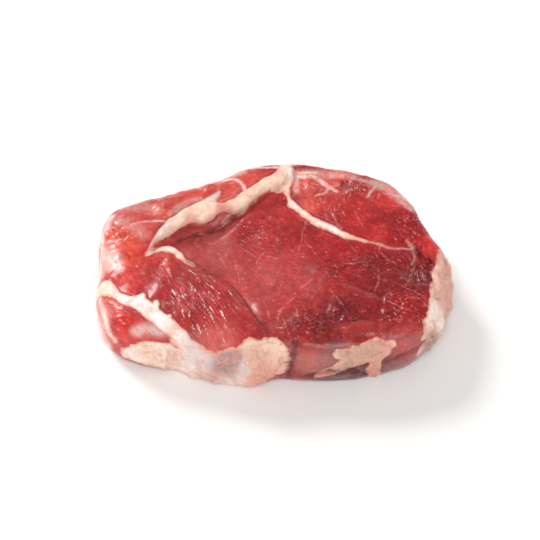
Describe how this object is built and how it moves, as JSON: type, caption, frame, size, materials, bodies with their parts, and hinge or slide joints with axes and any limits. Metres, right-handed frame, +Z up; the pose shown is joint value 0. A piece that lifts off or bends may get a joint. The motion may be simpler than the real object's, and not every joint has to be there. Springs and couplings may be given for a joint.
{
  "type": "beef chuck roll slice",
  "caption": "Thick raw slice cut across a boneless beef chuck roll: several muscles joined by fat seams, with a fat cap at the front and right, lying flat on its lower cut face.",
  "frame": {"origin": "middle of the footprint, on the surface that the slice lies on", "axes": "+X along the slice's length to the right of the picture, +Y to the back, +Z up out of the upper cut face"},
  "size_m": [0.1994, 0.1456, 0.0383],
  "materials": {
    "raw_beef": "moist raw red meat with cream fat, soft sheen and small wet highlights"
  },
  "bodies": {
    "root": {"chuck_roll": "raw_beef"}
  },
  "joints": []
}
